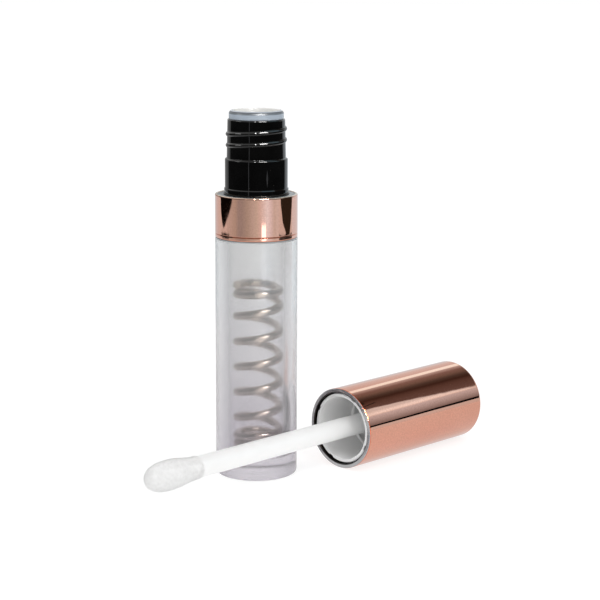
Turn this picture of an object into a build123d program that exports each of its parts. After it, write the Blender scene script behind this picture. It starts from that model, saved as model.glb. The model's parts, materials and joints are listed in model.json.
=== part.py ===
from build123d import *
import math
import os

# Lip gloss tube, opened: the bottle stands on its base and the cap lies beside it with its wand out.
# Origin at the centre of the bottle's base, +Z up the bottle's axis. Millimetres.

# Bottle: thick frosted wall, thick base, and a stepped finish under the collar.
BOTTLE_R = 9.0
BOTTLE_SHOULDER_Z = 52.85
BOTTLE_TOP_Z = 60.4
BOTTLE_BASE_ROUND = 0.7
BOTTLE_EDGE_ROUND = 0.2
BORE_R = 6.1
BORE_FLOOR_Z = 4.2
BORE_FLOOR_ROUND = 0.6
FINISH_R = 7.85

# Neck insert: plug in the bore, flange on the mouth, smooth skirt, then the threaded spout.
PLUG_BOTTOM_Z = 54.5
PLUG_LEAD_IN = 0.25
PLUG_LEAD_IN_H = 0.8
NECK_BORE_R = 5.2
GASKET_H = 0.5
GASKET_INSET = 0.1
NECK_FLANGE_TOP_Z = 61.7
FOOT_R = 7.0
FOOT_TOP_Z = 63.65
SKIRT_R = 6.82
LEDGE_Z = 70.2
SPOUT_ROOT_R = 6.42
SPOUT_TOP_R = 6.23
NECK_TOP_Z = 78.68
LEDGE_ROUND = 0.3
SPOUT_ROUND = 0.25
THREAD_PITCH = 2.41
THREAD_CREST_R = 6.64
THREAD_BEAD_R = 0.55
THREAD_START_Z = 72.37
THREAD_TURNS = 2.0
THREAD_START_DEG = 90.0

# Wiper: flanged sleeve that hangs in the neck and ends in a thin funnel lip.
WIPER_RING_R = 5.94
WIPER_TOP_Z = 80.55
WIPER_RING_ROUND = 0.75
WIPER_MOUTH_R = 4.94
WIPER_MOUTH_H = 1.6
WIPER_FUNNEL_H = 2.8
WIPER_TUBE_IN_R = 4.4
WIPER_BOTTOM_Z = 64.4
WIPER_CONE_TOP_Z = 67.4
WIPER_ORIFICE_R = 2.35
WIPER_ORIFICE_H = 0.9
WIPER_LIP = 0.55

# Collar: rose gold sleeve over a pale plastic core that clamps the neck's flange.
COLLAR_TOP_Z = 62.5
COLLAR_SHELL_IN_R = 8.5
COLLAR_SHELL_ROUND = 0.3
COLLAR_CORE_HOLE_R = 7.1
COLLAR_CORE_SINK = 0.12
COLLAR_FOOT_H = 0.2
COLLAR_FOOT_INSET = 0.06
COLLAR_BEAD_H = 0.92
COLLAR_GROOVE = 0.16
COLLAR_GROOVE_SLOPE = 0.9

# Mixing spring: loose in the bore, closed end turns, leaning a little towards +X.
SPRING_OUT_R = 5.55
SPRING_WIRE_R = 0.875
SPRING_SHIFT_X = 0.35
SPRING_CLEAR = 0.05
SPRING_CLOSED_PITCH = 1.8
SPRING_OPEN_PITCH = 5.68
SPRING_CLOSED_LOW = 2.0
SPRING_CLOSED_HIGH = 1.0
SPRING_EASE_IN = 0.85
SPRING_EASE_OUT = 0.3
SPRING_TURNS = 9
SPRING_POINTS_PER_TURN = 12

# Cap: metallised overshell, white threaded liner, sealing ring. Depths are measured in from the cap's mouth.
CAP_R = 9.11
CAP_LENGTH = 39.2
CAP_WALL = 1.0
CAP_END_WALL = 1.3
CAP_MOUTH_ROUND = 0.2
CAP_END_ROUND = 1.0
CAP_CORNER_ROUND = 0.5
LINER_RECESS = 0.5
LINER_MOUTH_OUT_R = 7.88
LINER_MOUTH_IN_R = 7.12
LINER_MOUTH_ROUND = 0.12
LINER_EDGE_ROUND = 0.2
LINER_BORE_R = 6.98
LINER_LEAD_IN = 1.7
LINER_CEILING_H = 1.5
LINER_SLEEVE_STEP = 0.4
LINER_END_GAP = 0.6
LINER_THREAD_BEAD_R = 0.42
LINER_THREAD_CREST_R = 6.47
LINER_THREAD_START = 10.4
LINER_RIBS = 12
LINER_RIB_W = 0.9
LINER_RIB_START = 2.6
LINER_RIB_BITE = 1.7
LINER_NOTCHES = 4
LINER_NOTCH_W = 1.2
LINER_NOTCH_DEPTH = 0.35
LINER_NOTCH_LENGTH = 1.6
LINER_NOTCH_DEG = 25.0
SOCKET_OUT_R = 3.9
SOCKET_TAPER = 0.4
SOCKET_DEPTH = 6.5
SEAL_H = 0.75
SEAL_CHAMFER = 0.2
SEAL_SQUEEZE = 0.02
SEAL_INSET = 0.1
LINER_CEILING = WIPER_TOP_Z - COLLAR_TOP_Z + SEAL_H - SEAL_SQUEEZE

# Wand and flocked applicator, measured out of the cap's mouth.
WAND_R = 2.28
WAND_LENGTH = 43.1
WAND_ROOT_ROUND = 0.4
WAND_TIP_ROUND = 0.15
APPLICATOR_LENGTH = 13.8
APPLICATOR_ROOT_R = 2.42
APPLICATOR_HALF_H = 3.3
APPLICATOR_HALF_W = 2.92
APPLICATOR_WIDEST = 0.56
APPLICATOR_BLUNT = 2.5
APPLICATOR_STATIONS = (0, 0.12, 0.28, 0.42, 0.56, 0.68, 0.79, 0.88, 0.94, 0.975, 0.993)
CORE_STEM_R = 1.2
CORE_STEM_LENGTH = 6.0
FLOCK_THICK = 0.55

# Where the cap lies: its mouth's centre, and the turn of its axis from +X about +Z.
CAP_MOUTH_X = 18.78
CAP_MOUTH_Y = 1.67
CAP_TURN_DEG = 43.76


def turned(points, rounds=None):
    """Solid of revolution about Z from a closed outline of (radius, height) points."""
    corners = [(radius, 0, height) for radius, height in points]
    if rounds is None:
        outline = Polyline(*corners, close=True)
    else:
        outline = FilletPolyline(*corners, radius=rounds, close=True)
    return revolve(make_face(outline), axis=Axis.Z)


def thread_bead(helix_r, bead_r, pitch, turns, start_z, start_deg):
    """Round-section thread ridge, right-handed, climbing +Z from start_z."""
    path = Helix(pitch=pitch, height=pitch * turns, radius=helix_r)
    section = Plane(origin=path @ 0, z_dir=path % 0) * Circle(bead_r)
    ridge = sweep(section, path=path, is_frenet=True)
    return Pos(0, 0, start_z) * Rot(0, 0, start_deg) * ridge


def make_bottle_body():
    points = [
        (0, 0),
        (BOTTLE_R, 0),
        (BOTTLE_R, BOTTLE_SHOULDER_Z),
        (FINISH_R, BOTTLE_SHOULDER_Z),
        (FINISH_R, BOTTLE_TOP_Z),
        (BORE_R, BOTTLE_TOP_Z),
        (BORE_R, BORE_FLOOR_Z),
        (0, BORE_FLOOR_Z),
    ]
    edge = BOTTLE_EDGE_ROUND
    rounds = [0, BOTTLE_BASE_ROUND, edge, 0, edge, edge / 2, BORE_FLOOR_ROUND, 0]
    return turned(points, rounds)


def make_neck_gasket():
    inner = BORE_R + GASKET_INSET
    outer = FINISH_R - GASKET_INSET
    top = BOTTLE_TOP_Z + GASKET_H
    return turned([(inner, BOTTLE_TOP_Z), (outer, BOTTLE_TOP_Z), (outer, top), (inner, top)])


def make_neck_insert():
    flange_z = BOTTLE_TOP_Z + GASKET_H
    points = [
        (NECK_BORE_R, PLUG_BOTTOM_Z),
        (BORE_R - PLUG_LEAD_IN, PLUG_BOTTOM_Z),
        (BORE_R, PLUG_BOTTOM_Z + PLUG_LEAD_IN_H),
        (BORE_R, flange_z),
        (FINISH_R, flange_z),
        (FINISH_R, NECK_FLANGE_TOP_Z),
        (FOOT_R, NECK_FLANGE_TOP_Z),
        (FOOT_R, FOOT_TOP_Z),
        (SKIRT_R, FOOT_TOP_Z + FOOT_R - SKIRT_R),
        (SKIRT_R, LEDGE_Z),
        (SPOUT_ROOT_R, LEDGE_Z),
        (SPOUT_TOP_R, NECK_TOP_Z),
        (NECK_BORE_R, NECK_TOP_Z),
    ]
    plain_corners = 9
    rounds = [0] * plain_corners + [LEDGE_ROUND, SPOUT_ROUND / 2, SPOUT_ROUND, SPOUT_ROUND / 2]
    tube = turned(points, rounds)
    ridge = thread_bead(
        THREAD_CREST_R - THREAD_BEAD_R, THREAD_BEAD_R, THREAD_PITCH,
        THREAD_TURNS, THREAD_START_Z, THREAD_START_DEG,
    )
    return tube + ridge


def make_wiper():
    lip_round = 0.1
    points = [
        (WIPER_ORIFICE_R, WIPER_BOTTOM_Z),
        (WIPER_ORIFICE_R + WIPER_LIP, WIPER_BOTTOM_Z),
        (NECK_BORE_R, WIPER_CONE_TOP_Z - WIPER_LIP),
        (NECK_BORE_R, NECK_TOP_Z),
        (WIPER_RING_R, NECK_TOP_Z),
        (WIPER_RING_R, WIPER_TOP_Z),
        (WIPER_MOUTH_R, WIPER_TOP_Z),
        (WIPER_MOUTH_R - lip_round, WIPER_TOP_Z - WIPER_MOUTH_H),
        (WIPER_TUBE_IN_R, WIPER_TOP_Z - WIPER_FUNNEL_H),
        (WIPER_TUBE_IN_R, WIPER_CONE_TOP_Z),
        (WIPER_ORIFICE_R, WIPER_BOTTOM_Z + WIPER_ORIFICE_H),
    ]
    rounds = [lip_round, lip_round, 0.3, 0, 0.15, WIPER_RING_ROUND, 0.2, 0.6, 0.6, 0.3, 0]
    return turned(points, rounds)


def make_collar_core():
    foot_top = BOTTLE_SHOULDER_Z + COLLAR_FOOT_H
    foot_r = BOTTLE_R - COLLAR_FOOT_INSET
    top = COLLAR_TOP_Z - COLLAR_CORE_SINK
    points = [
        (FINISH_R, BOTTLE_SHOULDER_Z),
        (foot_r, BOTTLE_SHOULDER_Z),
        (foot_r, foot_top),
        (COLLAR_SHELL_IN_R, foot_top),
        (COLLAR_SHELL_IN_R, top),
        (COLLAR_CORE_HOLE_R, top),
        (COLLAR_CORE_HOLE_R, NECK_FLANGE_TOP_Z),
        (FINISH_R, NECK_FLANGE_TOP_Z),
    ]
    return turned(points, [0, 0, 0, 0, 0, 0.2, 0, 0])


def make_collar_shell():
    bottom = BOTTLE_SHOULDER_Z + COLLAR_FOOT_H
    groove_z = bottom + COLLAR_BEAD_H
    half_groove = COLLAR_GROOVE * COLLAR_GROOVE_SLOPE
    points = [
        (COLLAR_SHELL_IN_R, bottom),
        (BOTTLE_R, bottom),
        (BOTTLE_R, groove_z - half_groove),
        (BOTTLE_R - COLLAR_GROOVE, groove_z),
        (BOTTLE_R, groove_z + half_groove),
        (BOTTLE_R, COLLAR_TOP_Z),
        (COLLAR_SHELL_IN_R, COLLAR_TOP_Z),
    ]
    edge = COLLAR_SHELL_ROUND
    groove_edge = COLLAR_GROOVE * 0.75
    return turned(points, [0, edge, groove_edge, 0, groove_edge, edge, edge / 3])


def ramp_height(turn, ease):
    """Turns climbed by a pitch that grows evenly from nothing to one over the ease."""
    if turn <= 0:
        return 0.0
    if turn < ease:
        return turn ** 2 / (2 * ease)
    return turn - ease / 2


def spring_height(turn):
    """Rise of the wire's centre after a number of turns: closed ends, open middle."""
    opening = ramp_height(turn - SPRING_CLOSED_LOW, SPRING_EASE_IN)
    closes_at = SPRING_TURNS - SPRING_CLOSED_HIGH - SPRING_EASE_OUT
    closing = ramp_height(turn - closes_at, SPRING_EASE_OUT)
    extra_pitch = SPRING_OPEN_PITCH - SPRING_CLOSED_PITCH
    return SPRING_CLOSED_PITCH * turn + extra_pitch * (opening - closing)


def make_mixing_spring():
    coil_r = SPRING_OUT_R - SPRING_WIRE_R
    low = BORE_FLOOR_Z + SPRING_CLEAR + SPRING_WIRE_R
    points = []
    for step in range(SPRING_TURNS * SPRING_POINTS_PER_TURN + 1):
        turn = step / SPRING_POINTS_PER_TURN
        angle = math.pi + 2 * math.pi * turn
        x = SPRING_SHIFT_X + coil_r * math.cos(angle)
        points.append((x, coil_r * math.sin(angle), low + spring_height(turn)))
    path = Spline(*points)
    section = Plane(origin=path @ 0, z_dir=path % 0) * Circle(SPRING_WIRE_R)
    return sweep(section, path=path, is_frenet=True)


def make_cap_overshell():
    inner = CAP_R - CAP_WALL
    points = [
        (inner, 0),
        (CAP_R, 0),
        (CAP_R, CAP_LENGTH),
        (0, CAP_LENGTH),
        (0, CAP_LENGTH - CAP_END_WALL),
        (inner, CAP_LENGTH - CAP_END_WALL),
    ]
    rounds = [CAP_MOUTH_ROUND, CAP_MOUTH_ROUND, CAP_END_ROUND, 0, 0, CAP_CORNER_ROUND]
    return turned(points, rounds)


def ring_of(shape, count, first_deg=0.0):
    """Copies of a shape, evenly spaced about Z."""
    return [Rot(0, 0, first_deg + 360 * index / count) * shape for index in range(count)]


def make_cap_liner():
    shell_in = CAP_R - CAP_WALL
    end = CAP_LENGTH - CAP_END_WALL - LINER_END_GAP
    above = LINER_CEILING + LINER_CEILING_H
    socket_end = above + SOCKET_DEPTH
    points = [
        (LINER_MOUTH_IN_R, LINER_RECESS),
        (LINER_MOUTH_OUT_R, LINER_RECESS),
        (LINER_MOUTH_OUT_R, above),
        (shell_in, above + LINER_SLEEVE_STEP),
        (shell_in, end),
        (LINER_MOUTH_IN_R, end),
        (LINER_MOUTH_IN_R, above),
        (SOCKET_OUT_R, above),
        (SOCKET_OUT_R - SOCKET_TAPER, socket_end),
        (WAND_R, socket_end),
        (WAND_R, LINER_CEILING),
        (LINER_BORE_R, LINER_CEILING),
        (LINER_BORE_R, LINER_LEAD_IN),
    ]
    edge = LINER_EDGE_ROUND
    rounds = [LINER_MOUTH_ROUND, edge, 0, 0, 0, 0, edge, edge, 0, 0, 0, edge, 0]
    cup = turned(points, rounds)
    cup += thread_bead(
        LINER_THREAD_CREST_R + LINER_THREAD_BEAD_R, LINER_THREAD_BEAD_R,
        THREAD_PITCH, THREAD_TURNS, LINER_THREAD_START, THREAD_START_DEG,
    )
    rib_length = above - LINER_RIB_START
    rib_depth = (shell_in - LINER_MOUTH_OUT_R) * LINER_RIB_BITE
    rib = Pos(LINER_MOUTH_OUT_R, 0, LINER_RIB_START + rib_length / 2) * Box(rib_depth, LINER_RIB_W, rib_length)
    for placed in ring_of(rib, LINER_RIBS):
        cup += placed
    notch = Pos(LINER_MOUTH_OUT_R, 0, LINER_RECESS) * Box(
        LINER_NOTCH_DEPTH * 2, LINER_NOTCH_W, LINER_NOTCH_LENGTH * 2,
    )
    for placed in ring_of(notch, LINER_NOTCHES, LINER_NOTCH_DEG):
        cup -= placed
    return cup


def make_cap_gasket():
    inner = WAND_R + SEAL_INSET
    outer = LINER_BORE_R - SEAL_INSET
    return turned([
        (inner, LINER_CEILING - SEAL_H),
        (outer, LINER_CEILING - SEAL_H),
        (outer, LINER_CEILING - SEAL_CHAMFER),
        (outer - SEAL_CHAMFER, LINER_CEILING),
        (inner, LINER_CEILING),
    ])


def make_wand():
    root = LINER_CEILING + LINER_CEILING_H + SOCKET_DEPTH
    points = [
        (0, root),
        (0, CORE_STEM_LENGTH - WAND_LENGTH),
        (CORE_STEM_R, CORE_STEM_LENGTH - WAND_LENGTH),
        (CORE_STEM_R, -WAND_LENGTH),
        (WAND_R, -WAND_LENGTH),
        (WAND_R, root),
    ]
    return turned(points, [0, 0, 0, 0, WAND_TIP_ROUND, WAND_ROOT_ROUND])


def paddle_swell(along):
    """Swell of the paddle from its root, 0, to its widest, 1, and back to 0 at the round tip."""
    if along < APPLICATOR_WIDEST:
        return 0.5 - 0.5 * math.cos(math.pi * along / APPLICATOR_WIDEST)
    past = (along - APPLICATOR_WIDEST) / (1.0 - APPLICATOR_WIDEST)
    return (1.0 - past ** APPLICATOR_BLUNT) ** (1.0 / APPLICATOR_BLUNT)


def paddle_half_size(along, widest):
    """Half height or half width at a share of the paddle's length."""
    if along < APPLICATOR_WIDEST:
        return APPLICATOR_ROOT_R + (widest - APPLICATOR_ROOT_R) * paddle_swell(along)
    return widest * paddle_swell(along)


def make_paddle(length, inset):
    """Loft of ellipses out of the wand's end, smaller all round by the inset."""
    faces = []
    for share in APPLICATOR_STATIONS:
        half_height = paddle_half_size(share, APPLICATOR_HALF_H) - inset
        half_width = paddle_half_size(share, APPLICATOR_HALF_W) - inset
        place = Plane(origin=(0, 0, -WAND_LENGTH - share * length), x_dir=(1, 0, 0), z_dir=(0, 0, -1))
        faces.append(place * Ellipse(half_height, half_width))
    return loft(faces)


def make_applicator_core():
    paddle = make_paddle(APPLICATOR_LENGTH - FLOCK_THICK, FLOCK_THICK)
    stem = Pos(0, 0, CORE_STEM_LENGTH / 2 - WAND_LENGTH) * Cylinder(CORE_STEM_R, CORE_STEM_LENGTH)
    return paddle + stem


def make_applicator_flock(core):
    return make_paddle(APPLICATOR_LENGTH, 0) - core


def lay_cap(shape):
    """Moves a cap piece from its own frame, mouth at 0 and +Z inward, to where the cap lies."""
    turn = math.radians(CAP_TURN_DEG)
    place = Plane(
        origin=(CAP_MOUTH_X, CAP_MOUTH_Y, CAP_R),
        x_dir=(0, 0, 1),
        z_dir=(math.cos(turn), math.sin(turn), 0),
    )
    return place.location * shape


def main():
    os.makedirs("parts", exist_ok=True)
    core = make_applicator_core()
    nodes = {
        "bottle_body": make_bottle_body(),
        "neck_gasket": make_neck_gasket(),
        "neck_insert": make_neck_insert(),
        "wiper": make_wiper(),
        "collar_core": make_collar_core(),
        "collar_shell": make_collar_shell(),
        "mixing_spring": make_mixing_spring(),
        "cap_overshell": lay_cap(make_cap_overshell()),
        "cap_liner": lay_cap(make_cap_liner()),
        "cap_gasket": lay_cap(make_cap_gasket()),
        "wand": lay_cap(make_wand()),
        "applicator_core": lay_cap(core),
        "applicator_flock": lay_cap(make_applicator_flock(core)),
    }
    for name, shape in nodes.items():
        export_step(shape, f"parts/{name}.step")


main()
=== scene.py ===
import json
import math
import random

import bpy
from mathutils import Matrix, Vector


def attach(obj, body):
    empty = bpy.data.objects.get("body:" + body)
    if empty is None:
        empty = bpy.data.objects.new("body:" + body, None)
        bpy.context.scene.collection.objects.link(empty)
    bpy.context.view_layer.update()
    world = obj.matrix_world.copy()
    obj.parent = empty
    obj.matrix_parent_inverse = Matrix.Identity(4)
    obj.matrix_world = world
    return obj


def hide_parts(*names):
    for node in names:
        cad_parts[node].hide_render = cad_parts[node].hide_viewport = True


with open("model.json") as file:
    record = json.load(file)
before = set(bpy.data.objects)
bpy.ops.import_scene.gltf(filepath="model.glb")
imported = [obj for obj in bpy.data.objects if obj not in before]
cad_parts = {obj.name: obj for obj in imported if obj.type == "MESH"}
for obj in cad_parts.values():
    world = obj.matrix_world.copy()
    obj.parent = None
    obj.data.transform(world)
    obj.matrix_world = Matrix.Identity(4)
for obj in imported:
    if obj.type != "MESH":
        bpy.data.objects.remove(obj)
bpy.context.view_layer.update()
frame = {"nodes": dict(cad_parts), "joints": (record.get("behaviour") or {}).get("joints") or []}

MM = 0.001

# Camera, fitted to the object: place in metres, look angles in radians, focal length in sensor widths.
CAMERA_PLACE = (0.0, -0.3713, 0.1125)
CAMERA_PITCH = 0.1958
CAMERA_PAN = 0.0258
CAMERA_ROLL = 0.0045
CAMERA_FOCAL = 2.869
SENSOR_MM = 36.0

# The cap's own frame, as the cap_twist joint states it: its mouth's centre, and the way the wand points.
CAP_JOINT = next(joint for joint in frame["joints"] if joint["name"] == "cap_twist")
CAP_MOUTH = Vector(CAP_JOINT["pos_m"])
CAP_OUT = Vector(CAP_JOINT["axis"]).normalized()
UP = Vector((0, 0, 1))
CAP_SIDE = CAP_OUT.cross(UP)

# Heights and radii of the object that the finishes follow, in millimetres.
COLLAR_TOP = 62.5
WIPER_ROUND_START = 79.75
WIPER_MOUTH_R = 4.94
WIPER_RING_R = 5.94
BOTTLE_BORE_R = 6.1
BOTTLE_R = 9.0
CAP_SHELL_IN_R = 8.11
CAP_LENGTH = 39.2

# Flocked paddle, measured out from the wand's end.
PADDLE_START = 43.1
PADDLE_LENGTH = 13.8
PADDLE_ROOT_R = 2.42
PADDLE_HALF_H = 3.3
PADDLE_HALF_W = 2.92
PADDLE_WIDEST = 0.56
PADDLE_BLUNT = 2.5
FIBRES = 16000
FIBRE_R = 0.02
FIBRE_LENGTH = (0.14, 0.32)
FIBRE_LEAN = 0.7
SKIN_INSET = 0.2
SKIN_INSET_AT_ROOT = 0.06


# ---------------------------------------------------------------- shader helpers

def new_tree(owner):
    owner.use_nodes = True
    owner.node_tree.nodes.clear()
    return owner.node_tree


def add(tree, kind, **values):
    """Adds a shader node and sets its inputs by name or, for names like i0, by number."""
    node = tree.nodes.new(kind)
    for name, value in values.items():
        key = int(name[1:]) if name[0] == "i" and name[1:].isdigit() else name.replace("_", " ")
        socket = node.inputs[key]
        if isinstance(value, bpy.types.NodeSocket):
            tree.links.new(value, socket)
        else:
            socket.default_value = value
    return node


def maths(tree, operation, a, b=0.0):
    node = add(tree, "ShaderNodeMath", i0=a, i1=b)
    node.operation = operation
    return node.outputs[0]


def vector_maths(tree, operation, a, b, result=0):
    node = add(tree, "ShaderNodeVectorMath", i0=a, i1=b)
    node.operation = operation
    return node.outputs[result]


def climb(tree, value, low, high):
    """0 up to low, 1 from high on."""
    node = add(tree, "ShaderNodeMapRange", Value=value)
    node.inputs["From Min"].default_value = low
    node.inputs["From Max"].default_value = high
    return node.outputs[0]


def window(tree, value, low, high, soft):
    """1 between low and high, 0 outside, with soft edges."""
    rise = climb(tree, value, low - soft, low + soft)
    fall = climb(tree, value, high - soft, high + soft)
    return maths(tree, "MULTIPLY", rise, maths(tree, "SUBTRACT", 1.0, fall))


def stops(tree, factor, pairs):
    """Colour ramp from (position, colour or grey) pairs."""
    node = add(tree, "ShaderNodeValToRGB", Fac=factor)
    ramp = node.color_ramp
    while len(ramp.elements) < len(pairs):
        ramp.elements.new(1.0)
    for element, (place, colour) in zip(ramp.elements, pairs):
        if not isinstance(colour, tuple):
            colour = (colour, colour, colour)
        element.position = place
        element.color = (*colour, 1.0)
    return node.outputs["Color"]


def blend_colours(tree, share, a, b):
    """Colour a where the share is 0, colour b where it is 1."""
    node = tree.nodes.new("ShaderNodeMix")
    node.data_type = "RGBA"
    for name, value in (("Factor_Float", share), ("A_Color", a), ("B_Color", b)):
        socket = next(each for each in node.inputs if each.identifier == name)
        if isinstance(value, bpy.types.NodeSocket):
            tree.links.new(value, socket)
        elif isinstance(value, tuple):
            socket.default_value = (*value, 1.0)
        else:
            socket.default_value = value
    return next(each for each in node.outputs if each.identifier == "Result_Color")


def noise(tree, coordinates, scale, detail=2.0, stretch=(1, 1, 1)):
    """Noise whose scale is in cells per metre."""
    mapping = add(tree, "ShaderNodeMapping", Vector=coordinates, Scale=stretch)
    return add(tree, "ShaderNodeTexNoise", Vector=mapping.outputs[0], Scale=scale, Detail=detail).outputs[0]


def spread(tree, value, low, high):
    """Maps noise from about 0.3-0.7 to low-high."""
    node = add(tree, "ShaderNodeMapRange", Value=value)
    node.inputs["From Min"].default_value = 0.3
    node.inputs["From Max"].default_value = 0.7
    node.inputs["To Min"].default_value = low
    node.inputs["To Max"].default_value = high
    return node.outputs[0]


def bump(tree, height, distance, strength=1.0):
    return add(tree, "ShaderNodeBump", Height=height, Distance=distance, Strength=strength).outputs[0]


def surface(name, **values):
    """A material with one Principled shader; returns the material, its tree, shader and object coordinates."""
    material = bpy.data.materials.new(name)
    tree = new_tree(material)
    coordinates = tree.nodes.new("ShaderNodeTexCoord").outputs["Object"]
    shader = add(tree, "ShaderNodeBsdfPrincipled", **values)
    output = tree.nodes.new("ShaderNodeOutputMaterial")
    tree.links.new(shader.outputs[0], output.inputs["Surface"])
    return material, tree, shader, coordinates


def feed(tree, shader, name, value):
    tree.links.new(value, shader.inputs[name])


def height_of(tree, at):
    return add(tree, "ShaderNodeSeparateXYZ", Vector=at).outputs["Z"]


def bottle_radius(tree, at):
    """Distance from the bottle's axis."""
    flat = vector_maths(tree, "MULTIPLY", at, (1.0, 1.0, 0.0))
    return vector_maths(tree, "LENGTH", flat, (0, 0, 0), "Value")


def cap_depth(tree, at):
    """Distance into the cap from its mouth."""
    from_mouth = vector_maths(tree, "SUBTRACT", at, tuple(CAP_MOUTH))
    return vector_maths(tree, "DOT_PRODUCT", from_mouth, tuple(-CAP_OUT), "Value")


def cap_radius(tree, at):
    """Distance from the cap's axis."""
    from_mouth = vector_maths(tree, "SUBTRACT", at, tuple(CAP_MOUTH))
    across = vector_maths(tree, "CROSS_PRODUCT", from_mouth, tuple(CAP_OUT))
    return vector_maths(tree, "LENGTH", across, (0, 0, 0), "Value")


# ---------------------------------------------------------------- materials

# Light spreads equally far under a white surface in every colour.
EVEN = (1.0, 1.0, 1.0)


def frosted_plastic():
    """Etched plastic: part of the light scatters at the grainy outside, the rest shows what is in the bore."""
    material, tree, shader, at = surface("frosted_bottle", IOR=1.5)
    # The base colour is painted shade: greyer and more purple towards the bottom, lighter at the top.
    height = climb(tree, height_of(tree, at), 0.0, 53 * MM)
    painted_shade_by_height = stops(tree, height, [(0.0, (0.68, 0.645, 0.70)), (0.45, (0.79, 0.78, 0.80)), (1.0, (0.84, 0.84, 0.84))])
    speckle = spread(tree, noise(tree, at, 3000, detail=2), 0.9, 1.06)
    feed(tree, shader, "Base Color", vector_maths(tree, "MULTIPLY", painted_shade_by_height, speckle))
    outside = climb(tree, bottle_radius(tree, at), (BOTTLE_BORE_R + 0.9) * MM, (BOTTLE_R - 0.4) * MM)
    clear = add(tree, "ShaderNodeMix", Factor=outside, A=0.98, B=0.84)
    feed(tree, shader, "Transmission Weight", clear.outputs[0])
    etched = spread(tree, noise(tree, at, 90), 0.14, 0.18)
    rough = add(tree, "ShaderNodeMix", Factor=outside, A=0.14, B=etched)
    feed(tree, shader, "Roughness", rough.outputs[0])
    grain = noise(tree, at, 2600, detail=3)
    depth = maths(tree, "MULTIPLY", outside, 0.5)
    feed(tree, shader, "Normal", bump(tree, grain, 0.02 * MM, depth))
    return material


# Painted light and shade across the wiper's crown, from the edge of its mouth to its outside: white and a pale band
# where overhead light falls on the rounded top, a grey ring and a dark outer edge as painted shade.
WIPER_CROWN_PAINTED_LIGHT_AND_SHADE = [
    (0.0, (0.95, 0.94, 0.91)), (0.16, (0.95, 0.94, 0.91)), (0.24, (0.24, 0.26, 0.30)), (0.36, (0.28, 0.31, 0.35)),
    (0.46, (0.62, 0.68, 0.73)), (0.62, (0.62, 0.68, 0.74)), (0.74, (0.10, 0.11, 0.13)), (1.0, (0.13, 0.15, 0.17)),
]

GOLD = [(0.0, (0.66, 0.315, 0.225)), (1.0, (0.70, 0.345, 0.25))]


def metallised(name, depth_of, bare, edge, edge_width, inside=None):
    """Rose gold mirror metallising; the cut end shows another tone, with a thin coloured edge where the gold starts. An
    inside colour, where given, is painted shade on the shell's inner wall.
    """
    material, tree, shader, at = surface(name, Metallic=1.0, Coat_Weight=0.15, Coat_Roughness=0.03)
    depth = depth_of(tree, at)
    gold = stops(tree, spread(tree, noise(tree, at, 60), 0.0, 1.0), GOLD)
    fleck = spread(tree, noise(tree, at, 2800, detail=2), 0.93, 1.05)
    gold = vector_maths(tree, "MULTIPLY", gold, fleck)
    edged = blend_colours(tree, climb(tree, depth, edge_width * MM, edge_width * 1.6 * MM), edge, gold)
    on_side = climb(tree, depth, 0.06 * MM, 0.12 * MM)
    colour = blend_colours(tree, on_side, bare, edged)
    # Painted shade: the shell's inner wall, in the recess round the liner, is painted near black, except near the
    # closed far end.
    if inside is not None:
        outer = climb(tree, cap_radius(tree, at), (CAP_SHELL_IN_R + 0.15) * MM, (CAP_SHELL_IN_R + 0.25) * MM)
        outer = maths(tree, "MAXIMUM", outer, climb(tree, depth, (CAP_LENGTH - 0.9) * MM, (CAP_LENGTH - 0.7) * MM))
        colour = blend_colours(tree, outer, inside, colour)
    feed(tree, shader, "Base Color", colour)
    polish = spread(tree, noise(tree, at, 700, detail=4), 0.03, 0.055)
    rough = add(tree, "ShaderNodeMix", Factor=on_side, A=0.25, B=polish)
    feed(tree, shader, "Roughness", rough.outputs[0])
    ripple = noise(tree, at, 90, detail=1.5)
    feed(tree, shader, "Normal", bump(tree, ripple, 0.05 * MM, 0.6))
    return material


def collar_depth(tree, at):
    return maths(tree, "SUBTRACT", COLLAR_TOP * MM, height_of(tree, at))


def black_gloss():
    """Jet black, highly polished moulding."""
    material, tree, shader, at = surface("black_gloss", IOR=1.5)
    tone = spread(tree, noise(tree, at, 300), 0.0, 1.0)
    feed(tree, shader, "Base Color", stops(tree, tone, [(0.0, 0.001), (1.0, 0.002)]))
    feed(tree, shader, "Roughness", spread(tree, noise(tree, at, 900, detail=3), 0.03, 0.06))
    feed(tree, shader, "Normal", bump(tree, noise(tree, at, 350, detail=1), 0.012 * MM, 0.3))
    return material


def wiper_polythene():
    """Soft blue-grey polythene, milky white down its mouth, with a crown painted in light and shade: pale bands where
    overhead light falls, between two grey edges of painted shade.
    """
    material, tree, shader, at = surface(
        "wiper_polythene", IOR=1.5, Transmission_Weight=0.1, Subsurface_Weight=0.2, Subsurface_Scale=1.0 * MM, Subsurface_Radius=EVEN,
    )
    tone = spread(tree, noise(tree, at, 400), 0.0, 1.0)
    body = stops(tree, tone, [(0.0, (0.38, 0.44, 0.51)), (1.0, (0.41, 0.47, 0.54))])
    radius = climb(tree, bottle_radius(tree, at), WIPER_MOUTH_R * MM, WIPER_RING_R * MM)
    # The crown's colours are painted light and shade, lighter than the side where overhead light falls on the rounded
    # top.
    crown = stops(tree, radius, WIPER_CROWN_PAINTED_LIGHT_AND_SHADE)
    on_painted_crown = climb(tree, height_of(tree, at), WIPER_ROUND_START * MM, (WIPER_ROUND_START + 0.15) * MM)
    inside = climb(tree, bottle_radius(tree, at), (WIPER_MOUTH_R + 0.15) * MM, (WIPER_MOUTH_R - 0.05) * MM)
    colour = blend_colours(tree, maths(tree, "MAXIMUM", on_painted_crown, inside), body, crown)
    feed(tree, shader, "Base Color", colour)
    feed(tree, shader, "Roughness", spread(tree, noise(tree, at, 1200, detail=3), 0.28, 0.36))
    return material


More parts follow.
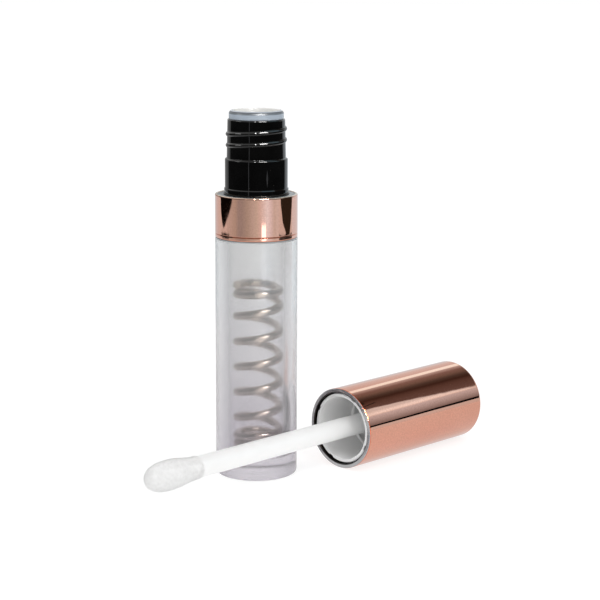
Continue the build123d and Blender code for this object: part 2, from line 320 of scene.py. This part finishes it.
def milky_polythene():
    material, tree, shader, at = surface(
        "milky_polythene", IOR=1.5, Transmission_Weight=0.3, Subsurface_Weight=0.3, Subsurface_Scale=1.5 * MM, Subsurface_Radius=EVEN,
    )
    tone = spread(tree, noise(tree, at, 400), 0.0, 1.0)
    feed(tree, shader, "Base Color", stops(tree, tone, [(0.0, (0.70, 0.76, 0.82)), (1.0, (0.74, 0.80, 0.87))]))
    feed(tree, shader, "Roughness", spread(tree, noise(tree, at, 1200, detail=3), 0.28, 0.36))
    return material


def satin_grey():
    material, tree, shader, at = surface("collar_core", Coat_Weight=0.1)
    tone = spread(tree, noise(tree, at, 250), 0.0, 1.0)
    feed(tree, shader, "Base Color", stops(tree, tone, [(0.0, (0.29, 0.315, 0.325)), (1.0, (0.34, 0.36, 0.375))]))
    feed(tree, shader, "Roughness", spread(tree, noise(tree, at, 1500, detail=3), 0.35, 0.45))
    feed(tree, shader, "Normal", bump(tree, noise(tree, at, 2500), 0.006 * MM, 0.4))
    return material


def spring_wire():
    """Drawn steel, warm and darkened by its lubricant, with drawing marks."""
    material, tree, shader, at = surface("spring_steel", Metallic=1.0, Anisotropic=0.3)
    marks = noise(tree, at, 1800, detail=4, stretch=(1, 1, 6))
    tone = spread(tree, marks, 0.0, 1.0)
    feed(tree, shader, "Base Color", stops(tree, tone, [(0.0, (0.60, 0.53, 0.46)), (1.0, (0.76, 0.68, 0.60))]))
    feed(tree, shader, "Roughness", spread(tree, marks, 0.12, 0.2))
    feed(tree, shader, "Normal", bump(tree, marks, 0.008 * MM, 0.4))
    return material


def white_plastic():
    material, tree, shader, at = surface("white_plastic", Subsurface_Weight=0.15, Subsurface_Scale=1.0 * MM, Subsurface_Radius=EVEN)
    tone = spread(tree, noise(tree, at, 200), 0.0, 1.0)
    feed(tree, shader, "Base Color", stops(tree, tone, [(0.0, (0.89, 0.89, 0.885)), (1.0, (0.92, 0.92, 0.915))]))
    feed(tree, shader, "Roughness", spread(tree, noise(tree, at, 900, detail=3), 0.28, 0.36))
    feed(tree, shader, "Normal", bump(tree, noise(tree, at, 3000), 0.002 * MM, 0.3))
    return material


def white_foam():
    material, tree, shader, at = surface("white_foam")
    cells = add(tree, "ShaderNodeTexVoronoi", Vector=at, Scale=5000.0)
    feed(tree, shader, "Base Color", stops(tree, cells.outputs["Distance"], [(0.0, 0.74), (0.6, 0.86)]))
    feed(tree, shader, "Roughness", spread(tree, noise(tree, at, 2500), 0.7, 0.85))
    feed(tree, shader, "Normal", bump(tree, cells.outputs["Distance"], 0.06 * MM, 0.6))
    return material


def flock_fibre():
    material, tree, shader, at = surface(
        "flock", Sheen_Weight=0.15, Sheen_Roughness=0.5, Subsurface_Weight=0.6, Subsurface_Scale=0.8 * MM,
        Subsurface_Radius=EVEN,
    )
    tone = spread(tree, noise(tree, at, 1500, detail=3), 0.0, 1.0)
    feed(tree, shader, "Base Color", stops(tree, tone, [(0.0, (0.86, 0.86, 0.855)), (1.0, (0.96, 0.96, 0.955))]))
    feed(tree, shader, "Roughness", spread(tree, noise(tree, at, 3000), 0.85, 0.95))
    feed(tree, shader, "Normal", bump(tree, noise(tree, at, 6000, detail=4), 0.04 * MM, 0.5))
    return material


def dress(node, material):
    """Gives a CAD node its finished material."""
    for slot in frame["nodes"][node].material_slots:
        slot.material = material


def dress_all():
    white = white_plastic()
    milky = milky_polythene()
    finishes = {
        "bottle_body": frosted_plastic(),
        "neck_gasket": milky,
        "neck_insert": black_gloss(),
        "wiper": wiper_polythene(),
        "collar_core": satin_grey(),
        "collar_shell": metallised("collar_rose_gold", collar_depth, (0.80, 0.70, 0.58), (0.75, 0.42, 0.31), 0.16),
        "mixing_spring": spring_wire(),
        # The cap's inside colour is painted shade, near black on the shell's inner wall.
        "cap_overshell": metallised("cap_rose_gold", cap_depth, (0.46, 0.455, 0.46), (0.72, 0.16, 0.06), 0.22,
                                   inside=(0.02, 0.014, 0.012)),
        "cap_liner": white,
        "cap_gasket": white_foam(),
        "wand": white,
        "applicator_core": milky,
        "applicator_flock": flock_fibre(),
    }
    for node, material in finishes.items():
        dress(node, material)
    return finishes


# ---------------------------------------------------------------- flocked applicator

def paddle_half(share, widest):
    """Half height or half width at a share of the paddle's length."""
    if share < PADDLE_WIDEST:
        swell = 0.5 - 0.5 * math.cos(math.pi * share / PADDLE_WIDEST)
        return PADDLE_ROOT_R + (widest - PADDLE_ROOT_R) * swell
    past = (share - PADDLE_WIDEST) / (1.0 - PADDLE_WIDEST)
    return widest * (1.0 - past ** PADDLE_BLUNT) ** (1.0 / PADDLE_BLUNT)


def skin_point(share, turn):
    """A point on the flock's skin, which lies under the fibres' tips."""
    inset = SKIN_INSET_AT_ROOT + (SKIN_INSET - SKIN_INSET_AT_ROOT) * min(1.0, share * 6)
    out = PADDLE_START + share * (PADDLE_LENGTH - SKIN_INSET)
    high = max(0.0, paddle_half(share, PADDLE_HALF_H) - inset)
    wide = max(0.0, paddle_half(share, PADDLE_HALF_W) - inset)
    return CAP_MOUTH + (CAP_OUT * out + UP * high * math.cos(turn) + CAP_SIDE * wide * math.sin(turn)) * MM


def make_flock_skin(stations=60, around=64):
    """Rings of points from the wand's end to the tip, closed at both ends, and its faces."""
    points, faces = [], []
    for station in range(stations):
        share = math.sin(0.5 * math.pi * station / stations)
        points += [skin_point(share, 2 * math.pi * step / around) for step in range(around)]
    for ring in range(stations - 1):
        for step in range(around):
            after = (step + 1) % around
            low, high = ring * around, (ring + 1) * around
            faces.append((low + step, low + after, high + after, high + step))
    tip = len(points)
    points.append(skin_point(1.0, 0.0))
    last = (stations - 1) * around
    faces += [(last + step, last + (step + 1) % around, tip) for step in range(around)]
    faces.append(tuple(reversed(range(around))))
    return points, faces


def grow_fibres(points, faces):
    """Short tapered fibres that stand on the skin, each leaning its own way."""
    dice = random.Random(11)
    sides = faces[:-1]
    corners = [[points[index] for index in face] for face in sides]
    areas = [(quad[2] - quad[0]).cross(quad[-1] - quad[1]).length for quad in corners]
    fibre_points, fibre_faces = [], []
    axis_start = CAP_MOUTH + CAP_OUT * PADDLE_START * MM
    for quad in dice.choices(corners, weights=areas, k=FIBRES):
        root = quad[0].lerp(quad[1], dice.random()).lerp(quad[-1].lerp(quad[2], dice.random()), dice.random())
        normal = (quad[2] - quad[0]).cross(quad[-1] - quad[1]).normalized()
        if normal.dot(root - axis_start) < 0 and normal.dot(CAP_OUT) < 0.9:
            normal.negate()
        lean = Vector((dice.gauss(0, 1), dice.gauss(0, 1), dice.gauss(0, 1))) * FIBRE_LEAN * 0.5
        way = (normal + lean).normalized()
        if way.dot(normal) < 0.35:
            way = normal
        side = way.orthogonal().normalized() * FIBRE_R * MM
        start = len(fibre_points)
        for step in range(3):
            fibre_points.append(root + Matrix.Rotation(step * 2 * math.pi / 3, 3, way) @ side)
        fibre_points.append(root + way * dice.uniform(*FIBRE_LENGTH) * MM)
        fibre_faces += [(start, start + 1, start + 3), (start + 1, start + 2, start + 3)]
        fibre_faces += [(start + 2, start, start + 3), (start + 2, start + 1, start)]
    return fibre_points, fibre_faces


def make_flock(material):
    points, faces = make_flock_skin()
    fibre_points, fibre_faces = grow_fibres(points, faces)
    offset = len(points)
    mesh = bpy.data.meshes.new("flock_fibres")
    moved = [tuple(index + offset for index in face) for face in fibre_faces]
    mesh.from_pydata([tuple(point) for point in points + fibre_points], [], faces + moved)
    mesh.polygons.foreach_set("use_smooth", [True] * len(mesh.polygons))
    mesh.materials.append(material)
    flock = bpy.data.objects.new("flock_fibres", mesh)
    bpy.context.collection.objects.link(flock)
    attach(flock, "cap")
    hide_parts("applicator_flock")


# ---------------------------------------------------------------- studio

# Colour of the room that polished metal sees round the horizon, by angle from +X about +Z. The ramp holds half of it.
HORIZON = [
    (-180, (0.75, 0.88, 0.95)), (-151, (0.58, 0.68, 0.68)), (-141, (0.45, 0.55, 0.61)), (-130, (0.45, 0.55, 0.60)),
    (-115, (0.55, 0.68, 0.69)), (-100, (0.69, 0.86, 0.92)), (-90, (0.76, 0.97, 1.00)), (-80, (0.91, 1.08, 1.18)),
    (-60, (1.10, 1.56, 1.90)), (-50, (0.98, 1.28, 1.55)), (-39, (0.79, 0.99, 1.06)), (-29, (0.86, 1.09, 1.21)),
    (-20, (0.84, 1.00, 1.08)), (22, (0.82, 0.95, 1.00)), (31, (0.93, 1.20, 1.38)), (50, (0.88, 1.05, 1.15)), (75, (0.80, 0.83, 0.85)), (110, (0.76, 0.82, 0.85)),
    (150, (0.85, 0.98, 1.05)),
]
RAMP_TOP = 2.0

# The dark brown window high on the right, from its near side round to its far side.
BROWN_WINDOW = [
    (9, (0.18, 0.15, 0.145)), (14, (0.17, 0.145, 0.14)), (25, (0.13, 0.10, 0.088)), (34, (0.062, 0.039, 0.029)), (43, (0.10, 0.09, 0.08)),
    (52, (0.22, 0.197, 0.175)), (61, (0.297, 0.25, 0.24)), (70, (0.66, 0.72, 0.74)),
]


WINDOW_SLANT = 0.4

# What the frosted wall lets in: white from behind, dim from the front but for one bright strip that lights the spring.
BEHIND_BOTTLE = [
    (-180, (0.14, 0.14, 0.14)), (-140, (0.08, 0.07, 0.065)), (-112, (0.08, 0.07, 0.065)), (-96, (0.9, 0.83, 0.75)),
    (-80, (2.0, 1.85, 1.68)), (-58, (2.0, 1.85, 1.68)), (-46, (0.2, 0.18, 0.17)), (-10, (0.12, 0.12, 0.12)),
    (20, (0.3, 0.3, 0.31)), (50, (0.58, 0.58, 0.60)), (74, (0.94, 0.94, 0.94)), (106, (0.94, 0.94, 0.94)),
    (130, (0.58, 0.58, 0.60)), (160, (0.3, 0.3, 0.31)),
]
FLOOR_DIMMED_BEHIND = 0.6
DIFFUSE_LEVEL = 0.78


def turn_share(degrees):
    """Share of a full turn, 0 at -X, for a direction's angle from +X."""
    return (degrees + 180.0) / 360.0


def share_of_turn(tree, x, y):
    """Share of a full turn of the direction (x, y), 0 at -X."""
    turn = maths(tree, "ARCTAN2", y, x)
    return maths(tree, "ADD", maths(tree, "DIVIDE", turn, 2 * math.pi), 0.5)


def around_ramp(tree, share, table):
    """Colours by direction, from a table of (angle, colour)."""
    halved = [(turn_share(angle), tuple(channel / RAMP_TOP for channel in colour)) for angle, colour in table]
    doubled = vector_maths(tree, "MULTIPLY", stops(tree, share, halved), (RAMP_TOP, RAMP_TOP, RAMP_TOP))
    return doubled


FLOOR_HALF = 4.0
FLOOR_SEEN_IN_GLOSS = 0.15
FLOOR_GLOW = 0.8
FLOOR_DIMMER_IN_GLOSS = 0.15
FLOOR_FRONT_STARTS = 0.012


def make_floor():
    """White paper for the camera; polished metal sees it only nearby, and the bottle's inside as BEHIND_BOTTLE says."""
    mesh = bpy.data.meshes.new("floor")
    corners = [(-FLOOR_HALF, -FLOOR_HALF, 0), (FLOOR_HALF, -FLOOR_HALF, 0)]
    corners += [(FLOOR_HALF, FLOOR_HALF, 0), (-FLOOR_HALF, FLOOR_HALF, 0)]
    mesh.from_pydata(corners, [], [(0, 1, 2, 3)])
    floor = bpy.data.objects.new("floor", mesh)
    bpy.context.collection.objects.link(floor)
    material = bpy.data.materials.new("floor")
    tree = new_tree(material)
    at = tree.nodes.new("ShaderNodeTexCoord").outputs["Object"]
    path = tree.nodes.new("ShaderNodeLightPath")
    mirrored = maths(tree, "MULTIPLY", path.outputs["Is Glossy Ray"], path.outputs["Is Reflection Ray"])
    paper = add(tree, "ShaderNodeBsdfDiffuse", Color=(0.3, 0.3, 0.3, 1))
    shine = maths(tree, "SUBTRACT", FLOOR_GLOW, maths(tree, "MULTIPLY", mirrored, FLOOR_DIMMER_IN_GLOSS))
    glow = add(tree, "ShaderNodeEmission", Color=(1, 1, 1, 1), Strength=shine)
    lit = add(tree, "ShaderNodeAddShader", i0=paper.outputs[0], i1=glow.outputs[0])
    place = add(tree, "ShaderNodeSeparateXYZ", Vector=at)
    behind = maths(tree, "ADD", place.outputs["Y"], FLOOR_FRONT_STARTS)
    through = around_ramp(tree, share_of_turn(tree, place.outputs["X"], behind), BEHIND_BOTTLE)
    dimmed = add(tree, "ShaderNodeEmission", Color=through, Strength=1.0)
    dimming = maths(tree, "MULTIPLY", path.outputs["Is Transmission Ray"], FLOOR_DIMMED_BEHIND)
    shown = add(tree, "ShaderNodeMixShader", i0=dimming, i1=lit.outputs[0], i2=dimmed.outputs[0])
    far = climb(tree, bottle_radius(tree, at), FLOOR_SEEN_IN_GLOSS, FLOOR_SEEN_IN_GLOSS * 1.3)
    hidden = maths(tree, "MULTIPLY", far, mirrored)
    clear = tree.nodes.new("ShaderNodeBsdfTransparent")
    mixed = add(tree, "ShaderNodeMixShader", i0=hidden, i1=shown.outputs[0], i2=clear.outputs[0])
    output = tree.nodes.new("ShaderNodeOutputMaterial")
    tree.links.new(mixed.outputs[0], output.inputs["Surface"])
    mesh.materials.append(material)


def make_world():
    """Even white light, with a structured room for mirror reflections only."""
    world = bpy.data.worlds.new("studio")
    bpy.context.scene.world = world
    tree = new_tree(world)
    direction = tree.nodes.new("ShaderNodeTexCoord").outputs["Generated"]
    axes = add(tree, "ShaderNodeSeparateXYZ", Vector=direction)
    share = share_of_turn(tree, axes.outputs["X"], axes.outputs["Y"])
    turn = maths(tree, "SUBTRACT", maths(tree, "MULTIPLY", share, 360.0), 180.0)
    rise = maths(tree, "MULTIPLY", maths(tree, "ARCSINE", axes.outputs["Z"]), 180.0 / math.pi)

    room = around_ramp(tree, share, HORIZON)
    room = blend_colours(tree, climb(tree, rise, 6.0, 10.0), room, (0.88, 0.87, 0.86))
    near_side = window(tree, turn, -30.0, 20.0, 4.0)
    grey = blend_colours(tree, climb(tree, rise, 4.0, 20.0), (0.28, 0.30, 0.32), (0.76, 0.98, 1.15))
    in_grey = maths(tree, "MULTIPLY", near_side, window(tree, rise, 4.0, 22.0, 0.7))
    room = blend_colours(tree, in_grey, room, grey)
    pale = blend_colours(tree, climb(tree, rise, 26.0, 29.5), (1.22, 1.62, 1.80), (0.90, 1.20, 1.35))
    in_pale = maths(tree, "MULTIPLY", near_side, climb(tree, rise, 21.0, 23.5))
    room = blend_colours(tree, in_pale, room, pale)
    bright_far = maths(tree, "MULTIPLY", window(tree, turn, 70.0, 77.0, 0.8), window(tree, rise, 24.0, 90.0, 3.0))
    room = blend_colours(tree, bright_far, room, (1.34, 1.74, 1.78))
    near_edge = climb(tree, maths(tree, "SUBTRACT", turn, maths(tree, "MULTIPLY", rise, WINDOW_SLANT)), -0.4, 0.4)
    far_edge = climb(tree, turn, 71.5, 69.5)
    in_window = maths(tree, "MULTIPLY", near_edge, maths(tree, "MULTIPLY", far_edge, climb(tree, rise, 21.0, 23.0)))
    room = blend_colours(tree, in_window, room, around_ramp(tree, share, BROWN_WINDOW))

    seen_through = around_ramp(tree, share, BEHIND_BOTTLE)
    path = tree.nodes.new("ShaderNodeLightPath")
    mirrored = maths(tree, "MULTIPLY", path.outputs["Is Glossy Ray"], path.outputs["Is Reflection Ray"])
    plain = blend_colours(tree, path.outputs["Is Diffuse Ray"], (1.0, 1.0, 1.0), (DIFFUSE_LEVEL,) * 3)
    level = blend_colours(tree, path.outputs["Is Transmission Ray"], plain, seen_through)
    level = blend_colours(tree, mirrored, level, room)
    sky = add(tree, "ShaderNodeBackground", Color=level, Strength=1.0)
    output = tree.nodes.new("ShaderNodeOutputWorld")
    tree.links.new(sky.outputs[0], output.inputs["Surface"])


# Screens that stand round the object and show only in reflections:
# name, distance, colour, strength, and (angle, low edge, high edge) columns in degrees and millimetres.
SCREENS = [
    ("collar_dark_left", 200, (1.0, 0.9, 0.8), 0.004,
     [(152, 37, 110), (154, 35, 110), (156, 30.4, 110), (160, 28, 110), (165, 26, 110), (171, 26, 110),
      (180, 28, 110), (190, 30.4, 110), (201, 35, 110)]),
    ("collar_dark_right", 59, (1.0, 0.95, 0.7), 0.035,
     [(-24, 54, 59.4), (-17, 49.2, 59.4), (-10, 47.5, 59.4), (-4, 46, 59.4), (9, 46, 59.4), (15, 49.2, 59.4),
      (20, 54, 59.4)]),
    ("bead_dark_left", 200, (1.0, 0.9, 0.8), 0.004, [(158, 22.6, 24.2), (174, 22.2, 24.4), (190, 22.6, 24.2)]),
    ("bead_dark_right", 59, (1.0, 0.95, 0.7), 0.01, [(-11, 44.2, 45.2), (2, 43.9, 45.4), (14, 44.2, 45.2)]),
    ("cap_dark_line", 200, (1.0, 0.9, 0.8), 0.01, [(-25, 13.5, 24), (0, 13.5, 24), (25, 13.5, 24)]),
    ("collar_bright_front", 200, (0.9, 1.0, 1.1), 3.4, [(-76, 0, 27.6), (-64, 0, 27.6)]),
    ("neck_dark", 30, (1.0, 1.0, 1.0), 0.03, [(angle, 59.5, 80) for angle in range(-202, 30, 6)]),
    ("neck_left", 30.5, (1.0, 1.0, 1.0), 0.45, [(angle, 59.5, 80) for angle in range(98, 164, 8)]),
    ("neck_right", 30.5, (0.95, 1.0, 1.05), 0.75,
     [(16, 68, 80), (24, 66, 80), (28, 59.5, 80), (38, 59.5, 80), (48, 59.5, 80), (60, 59.5, 80), (76, 59.5, 80)]),
    ("neck_line", 29.5, (1.0, 1.0, 1.05), 0.8, [(-115.8, 59.5, 80), (-113.8, 59.5, 80)]),
    ("neck_spot", 29.5, (1.0, 1.0, 1.05), 0.7, [(-57.5, 63.4, 63.6), (-54.4, 61.5, 65.5), (-51.5, 63.4, 63.6)]),
    ("lamp_dot", 200, (1.0, 1.0, 1.0), 60.0, [(-97, 130, 260), (-93, 130, 260)]),
    ("lamp_dash_low", 200, (1.0, 1.0, 1.0), 60.0, [(-79, 128, 160), (-47, 128, 160)]),
    ("lamp_dash_middle", 200, (1.0, 0.95, 0.9), 35.0, [(-79, 185, 215), (-47, 185, 215)]),
    ("lamp_dash_high", 200, (1.0, 1.0, 1.0), 60.0, [(-79, 250, 310), (-47, 250, 310)]),
    ("lamp_left", 200, (1.0, 1.0, 1.0), 10.0, [(180, 128, 160), (194, 140, 180), (208, 128, 160)]),
]


def make_screen(name, distance, colour, strength, columns):
    points, faces = [], []
    for degrees, low, high in columns:
        angle = math.radians(degrees)
        x, y = distance * math.cos(angle) * MM, distance * math.sin(angle) * MM
        points += [(x, y, low * MM), (x, y, high * MM)]
    for left in range(0, len(points) - 2, 2):
        faces.append((left, left + 2, left + 3, left + 1))
    mesh = bpy.data.meshes.new(name)
    mesh.from_pydata(points, [], faces)
    screen = bpy.data.objects.new(name, mesh)
    bpy.context.collection.objects.link(screen)
    material = bpy.data.materials.new(name)
    tree = new_tree(material)
    glow = add(tree, "ShaderNodeEmission", Color=(*colour, 1), Strength=strength)
    output = tree.nodes.new("ShaderNodeOutputMaterial")
    tree.links.new(glow.outputs[0], output.inputs["Surface"])
    mesh.materials.append(material)
    screen.visible_camera = False
    screen.visible_diffuse = False
    screen.visible_transmission = False
    screen.visible_shadow = False


def make_key_light():
    """A soft lamp in front, above and to the right."""
    light = bpy.data.lights.new("key", "AREA")
    light.shape = "RECTANGLE"
    light.size, light.size_y = 0.2, 0.2
    light.energy = 0.9
    lamp = bpy.data.objects.new("key", light)
    bpy.context.collection.objects.link(lamp)
    lamp.location = (0.2, -0.35, 0.5)
    lamp.rotation_euler = (-lamp.location).to_track_quat("-Z", "Y").to_euler()
    lamp.visible_glossy = False


def make_camera():
    data = bpy.data.cameras.new("camera")
    data.sensor_width = SENSOR_MM
    data.lens = CAMERA_FOCAL * SENSOR_MM
    data.clip_start = 0.01
    camera = bpy.data.objects.new("camera", data)
    bpy.context.collection.objects.link(camera)
    look = Vector((
        math.sin(CAMERA_PAN) * math.cos(CAMERA_PITCH),
        math.cos(CAMERA_PAN) * math.cos(CAMERA_PITCH),
        -math.sin(CAMERA_PITCH),
    ))
    side = look.cross(UP).normalized()
    up = side.cross(look)
    rolled_side = math.cos(CAMERA_ROLL) * side + math.sin(CAMERA_ROLL) * up
    rolled_up = math.cos(CAMERA_ROLL) * up - math.sin(CAMERA_ROLL) * side
    turn = Matrix((rolled_side, rolled_up, -look)).transposed()
    camera.matrix_world = Matrix.Translation(CAMERA_PLACE) @ turn.to_4x4()
    bpy.context.scene.camera = camera


def set_colour_view():
    view = bpy.context.scene.view_settings
    view.view_transform = "Standard"
    view.look = "None"


finishes = dress_all()
make_flock(finishes["applicator_flock"])
make_floor()
make_world()
for screen in SCREENS:
    make_screen(*screen)
make_key_light()
make_camera()
set_colour_view()
